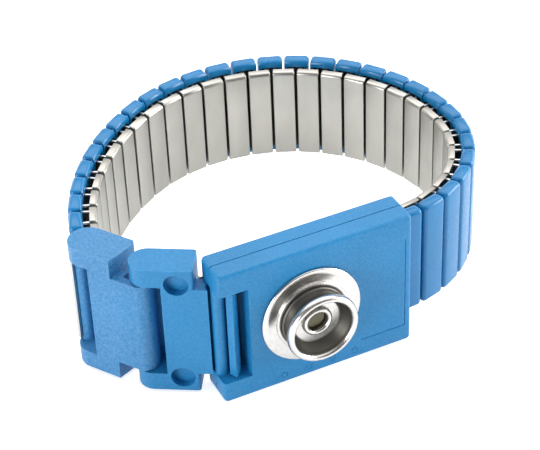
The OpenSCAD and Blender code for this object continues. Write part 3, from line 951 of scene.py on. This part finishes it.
@dataclass(frozen=True)
class Band:
    """Capped links: a cap over an outer sleeve, an inner sleeve half a link on, and four bows."""

    path: BandPath = BandPath()
    cap_width: float = 3.74  # Along the band.
    cap_length: float = 15.7  # Across the band.
    cap_depth: float = 1.85
    cap_wall: float = 0.35
    draw: float = 0.14  # How far a cap's sides draw in.
    end_draw: float = 0.12  # How far its ends draw in.
    rim: float = 0.2  # Width of the rim round a cap's hollow.
    end_wall: float = 1.15  # Length of a cap's solid ends.
    end_round: float = 0.7  # Rounding of a cap's ends.
    flank_round: float = 0.6
    back_round: float = 0.6  # Rounding of the ends' inner edges.
    outer_width: float = 2.7
    outer_gap: float = 0.02  # Gap between a cap's floor and its sleeve.
    outer_sunk: float = 0.04  # How far the sleeve lies below the cap's back.
    sleeve_length: float = 13.2  # Of the outer sleeves.
    sleeve_wall: float = 0.18
    corner: float = 0.15  # Rounding of the sleeves' long edges.
    inner_length: float = 13.9
    inner_depth: float = 2.8  # From the caps' outer face to the inner sleeves.
    inner_width: float = 3.1
    inner_thick: float = 1.05
    shoulder: float = 0.55  # Rounding of an inner sleeve's ends.
    bow_x: float = 0.66  # A bow's place from the middle of its cap.
    tail_x: float = 0.8  # The last bows' place, by the clip's tail.
    bow_width: float = 0.36
    bow_tall: float = 0.32
    bow_over: float = 0.1  # How far a bow runs past its legs.
    bow_sunk: float = 0.05  # From a sleeve's end to the bow.
    bow_round: float = 0.1
    leg_ends: Span = (2.2, 0.1)  # Where a leg ends, down from the bow's top.
    leg_radius: float = 0.24
    leg_inside: float = 0.45  # From an inner sleeve's side to the leg in it.

    def cap(self) -> Shape:
        """Models a cap with its outer face at Y = 0: drawn-in sides, round ends, a hollow back.

        Returns:
            The cap.
        """
        half, long, deep = self.cap_width / 2, self.cap_length / 2, self.cap_depth
        shape = block((-half, 0.0, -long), (half, deep, long))
        back = [v for v in shape.verts if v.co.y > deep / 2]
        narrowed = Vector((1.0 - self.draw / half, 1.0, 1.0 - self.end_draw / long))
        bmesh.ops.scale(shape, verts=back, vec=narrowed)
        face = next(f for f in shape.faces if f.normal.y > 0.9)
        bmesh.ops.inset_region(shape, faces=[face], thickness=self.rim, use_even_offset=True)
        for vertex in face.verts:
            vertex.co.z = math.copysign(long - self.end_wall, vertex.co.z)
        extrude(shape, [face], Vector((0.0, self.cap_wall - deep, 0.0)))
        bmesh.ops.delete(shape, geom=[face], context="FACES_ONLY")
        ends = [e for e in edges_along(shape, Along.X) if all(v.co.y < NEAR for v in e.verts)]
        ease(shape, ends, self.end_round, 5)
        tip, side, end_zone, face_zone = long - 0.3, half - 0.35, long - 2.0, 0.1
        backs = [e for e in edges_along(shape, Along.X)
                 if all(v.co.y > deep - NEAR and abs(v.co.z) > tip for v in e.verts)]
        ease(shape, backs, self.back_round, 4)
        flanks = [e for e in side_edges(shape)
                  if all(abs(v.co.x) > side for v in e.verts)
                  and not all(v.co.y > deep - 0.01 for v in e.verts)
                  and all(abs(v.co.z) > end_zone or v.co.y < face_zone for v in e.verts)]
        ease(shape, flanks, self.flank_round, 4, clamp=False)
        return shape

    def outer_sleeve(self) -> Shape:
        """Models the rolled sleeve in a cap, open at both ends.

        Returns:
            The sleeve.
        """
        half, long = self.outer_width / 2, self.sleeve_length / 2
        shape = block((-half, self.cap_wall + self.outer_gap, -long),
                      (half, self.cap_depth - self.outer_sunk, long))
        ease(shape, edges_along(shape, Along.Z), self.corner)
        ends = [f for f in shape.faces if abs(f.normal.z) > 0.9]
        bmesh.ops.delete(shape, geom=ends, context="FACES_ONLY")
        bmesh.ops.solidify(shape, geom=shape.faces[:], thickness=self.sleeve_wall)
        return shape

    def inner_sleeve(self) -> Shape:
        """Models an inner sleeve: rolled long edges and closed ends with eased corners.

        Returns:
            The sleeve.
        """
        half, long, deep = self.inner_width / 2, self.inner_length / 2, self.inner_thick
        shape = block((-half, 0.0, -long), (half, deep, long))
        rims = [e for e in edges_along(shape, Along.X)
                if all(v.co.y > deep - NEAR for v in e.verts)]
        ease(shape, rims, self.shoulder, 6)
        ease(shape, side_edges(shape), self.corner, clamp=False)
        return shape

    def bow(self, outer: Vector, inner: Vector) -> Shape:
        """Models the two wire bows, one at each edge of the band, between two points in plan.

        Args:
            outer: The end in the cap.
            inner: The end in the inner sleeve.

        Returns:
            Both bows.
        """
        run = inner - outer
        angle = math.degrees(math.atan2(run.y, run.x))
        wide, over, shape = self.bow_width / 2, self.bow_over, bmesh.new()
        top = self.sleeve_length / 2 - self.bow_sunk
        for side in (-1.0, 1.0):
            low, high = sorted((side * (top - self.bow_tall), side * top))
            wire = block((-over, -wide, low), (run.length + over, wide, high))
            ease(wire, edges_along(wire, Along.X), self.bow_round)
            bmesh.ops.transform(wire, matrix=turned(angle, outer), verts=wire.verts)
            join(shape, wire)
            low, high = sorted(side * (top - down) for down in self.leg_ends)
            for end in (outer, inner):
                leg = bmesh.new()
                bmesh.ops.create_cone(leg, cap_ends=True, segments=12, radius1=self.leg_radius,
                                      radius2=self.leg_radius, depth=high - low)
                middle = end + Vector((0.0, 0.0, (low + high) / 2))
                bmesh.ops.translate(leg, vec=middle, verts=leg.verts)
                join(shape, leg)
        return shape

    def build(self, bench: Bench, housing: Housing) -> None:
        """Builds every link and the fixed start of the band.

        Args:
            bench: The bench that finishes the pieces.
            housing: The housing, whose frame the route is given in.
        """
        headings, seams = self.path.headings(), self.path.seams()
        leg_depth = self.cap_wall + (self.cap_depth - self.cap_wall) / 2
        reach = self.inner_depth + self.inner_thick / 2

        def cap_place(k: int) -> Matrix:
            """The frame of cap k, from the middle of its outer face."""
            return housing.place @ turned(headings[k], (seams[k] + seams[k + 1]) / 2)

        def seam_place(k: int) -> Matrix:
            """The frame at the seam that follows link k, half turned to the next."""
            angle = (headings[k] + headings[k + 1]) / 2 if k >= 0 else 0.0
            return housing.place @ turned(angle, seams[k + 1])

        def sleeve_place(k: int) -> Matrix:
            """The frame of the inner sleeve that follows link k."""
            return seam_place(k) @ Matrix.Translation(Vector((0.0, self.inner_depth, 0.0)))

        def bows(k: int, ahead: bool) -> Shape:
            """The bows from cap k to the inner sleeve ahead of it, or behind it."""
            side = 1.0 if ahead else -1.0
            leg_x = self.bow_x if k < self.path.links else self.tail_x
            sleeve_x = -side * (self.inner_width / 2 - self.leg_inside)
            outer = cap_place(k) @ Vector((side * leg_x, leg_depth, 0.0))
            inner = seam_place(k if ahead else k - 1) @ Vector((sleeve_x, reach, 0.0))
            return self.bow(outer, inner)

        for k in range(self.path.links):
            body, slot = f"link_{k:02d}", "band_link"
            bench.piece(self.cap(), Ticket(f"cap_{k:02d}", CAPPED, body, slot,
                                           f"band_link_{k:02d}"), cap_place(k))
            # Its steel is painted near black as shade.
            bench.piece(self.outer_sleeve(), Ticket(f"outer_sleeve_{k:02d}", SHADE_DARK_STEEL, body, slot),
                        cap_place(k))
            bench.piece(self.inner_sleeve(), Ticket(f"inner_sleeve_{k:02d}", SLEEVED, body, slot),
                        sleeve_place(k))
            pair = bows(k, True)
            join(pair, bows(k + 1, False))
            bench.piece(pair, Ticket(f"bows_{k:02d}", WIRED, body, slot))
        bench.piece(self.inner_sleeve(), Ticket("start_sleeve", SLEEVED, "housing",
                                                "anchor_sleeve", "anchor_sleeve"), sleeve_place(-1))
        bench.piece(bows(0, False), Ticket("start_bows", WIRED, "housing", "bows", "anchor_bows"))


# --- The studio ---


@dataclass(frozen=True)
class Lamp:
    """A soft square lamp that faces the strap."""

    name: str
    at: tuple[float, float, float]  # Its place in metres.
    size: float
    power: float  # In watts.
    aim: tuple[float, float, float] = (0.0, 0.02, 0.0)  # What it faces, in metres.

    def hang(self) -> None:
        """Hangs the lamp in the scene."""
        data = bpy.data.lights.new(self.name, "AREA")
        data.shape = "SQUARE"
        data.size = self.size
        data.energy = self.power
        head = bpy.data.objects.new(self.name, data)
        place = Vector(self.at)
        turn = (place - Vector(self.aim)).to_track_quat("Z", "Y")
        head.matrix_world = Matrix.Translation(place) @ turn.to_matrix().to_4x4()
        bpy.context.scene.collection.objects.link(head)


@dataclass(frozen=True)
class Studio:
    """A pale floor, soft lamps and the camera."""

    floor_z: float = -10.0
    floor_radius: float = 1.6
    floor_grey: float = 0.88
    floor_shown: float = 0.68  # What the camera sees it glow.
    floor_mirrored: float = 0.45  # What metal sees it glow.
    # The point that the camera turns about.
    target: tuple[float, float, float] = (-1.285, 11.427, 8.707)
    azimuth: float = -24.652  # The camera's place round the strap, in degrees.
    elevation: float = 36.671
    roll: float = -2.456
    distance: float = 221.03  # From the target.
    lens: float = 118.33  # The camera's focal length on its sensor.
    sensor: float = 36.0
    clip: Span = (0.01, 10.0)  # The nearest and farthest that the camera sees, in metres.
    # Towards the brightest part of the world.
    backdrop: tuple[float, float, float] = (0.36, 0.72, 0.59)
    # For each glow of the world, the heights between which it fades in, and how near the
    # backdrop it does so.
    glows: tuple[tuple[Span, Span], ...] = (((0.50, 0.60), (0.2, 0.6)), ((0.34, 0.14), (0.0, 0.6)))
    sky_tint: Colour = (1.0, 0.97, 0.97)
    sky: Span = (0.22, 2.35)  # The world's strength in front of the strap and behind it.
    lamps: tuple[Lamp, ...] = (Lamp("left_lamp", (-0.55, -0.20, 0.10), 0.3, 2.4),
                               Lamp("right_lamp", (0.55, -0.18, 0.08), 0.4, 4.0))

    def camera(self) -> None:
        """Sets up the camera."""
        data = bpy.data.cameras.new("camera")
        data.sensor_width = self.sensor
        data.sensor_fit = "HORIZONTAL"
        data.lens = self.lens
        data.clip_start, data.clip_end = self.clip
        seat = bpy.data.objects.new("camera", data)
        bpy.context.scene.collection.objects.link(seat)
        az, el = math.radians(self.azimuth), math.radians(self.elevation)
        back = Vector((math.sin(az) * math.cos(el), -math.cos(az) * math.cos(el), math.sin(el)))
        right = Vector((math.cos(az), math.sin(az), 0.0))
        upward = back.cross(right)
        lean = math.radians(self.roll)
        level = right * math.cos(lean) + upward * math.sin(lean)
        rise = upward * math.cos(lean) - right * math.sin(lean)
        axes = Matrix((level, rise, back)).transposed().to_4x4()
        place = (Vector(self.target) + back * self.distance) * MM
        seat.matrix_world = Matrix.Translation(place) @ axes
        bpy.context.scene.camera = seat

    def floor(self) -> None:
        """Lays a round pale floor that shows white to the camera and keeps the strap's shadow."""
        shape = bmesh.new()
        bmesh.ops.create_circle(shape, cap_ends=True, segments=64, radius=self.floor_radius)
        ground = as_object(shape, "floor")
        ground.location.z = self.floor_z * MM
        paint = bpy.data.materials.new("floor_white")
        paint.use_nodes = True
        bench = NodeBench(paint.node_tree)
        matte = bench.add("ShaderNodeBsdfDiffuse", Color=(*[self.floor_grey] * 3, 1.0))
        path = bench.add("ShaderNodeLightPath").outputs
        shown = bench.math("MULTIPLY", path["Is Camera Ray"], self.floor_shown)
        mirrored = bench.math("MULTIPLY", path["Is Glossy Ray"], self.floor_mirrored)
        extra = bench.add("ShaderNodeEmission", WHITE, bench.math("MAXIMUM", shown, mirrored))
        both = bench.add("ShaderNodeAddShader", matte.outputs[0], extra.outputs[0])
        bench.add("ShaderNodeOutputMaterial", both.outputs[0])
        ground.data.materials.append(paint)

    def world(self) -> None:
        """Sets a soft grey world, brighter behind the strap, that the camera sees as white."""
        sky = bpy.data.worlds.new("studio")
        bpy.context.scene.world = sky
        sky.use_nodes = True
        bench = NodeBench(sky.node_tree)
        around = bench.add("ShaderNodeTexCoord").outputs["Generated"]
        height = bench.add("ShaderNodeSeparateXYZ", around).outputs[2]
        facing = bench.dot(around, self.backdrop)
        glows = [bench.math("MULTIPLY", bench.spread(height, *rise), bench.spread(facing, *near))
                 for rise, near in self.glows]
        strength = bench.spread(bench.math("MAXIMUM", *glows), 0.0, 1.0, *self.sky)
        fill = bench.add("ShaderNodeBackground", self.sky_tint, strength)
        white = bench.add("ShaderNodeBackground", WHITE, 1.0)
        camera_ray = bench.add("ShaderNodeLightPath").outputs["Is Camera Ray"]
        seen = bench.add("ShaderNodeMixShader", camera_ray, fill.outputs[0], white.outputs[0])
        bench.add("ShaderNodeOutputWorld", seen.outputs[0])

    def build(self) -> None:
        """Builds the studio."""
        self.camera()
        self.floor()
        self.world()
        for lamp in self.lamps:
            lamp.hang()
        bpy.context.scene.view_settings.view_transform = "Standard"


def main() -> None:
    """Builds the studio, then the strap piece by piece."""
    logging.basicConfig(level=logging.INFO, format="%(name)s: %(message)s")
    bench = Bench()
    housing = Housing()
    Studio().build()
    housing.build(bench)
    SnapStud().build(bench)
    Clasp().build(bench)
    Band().build(bench, housing)
    LOG.info("made %d pieces", bench.made)


if __name__ == "__main__":
    main()
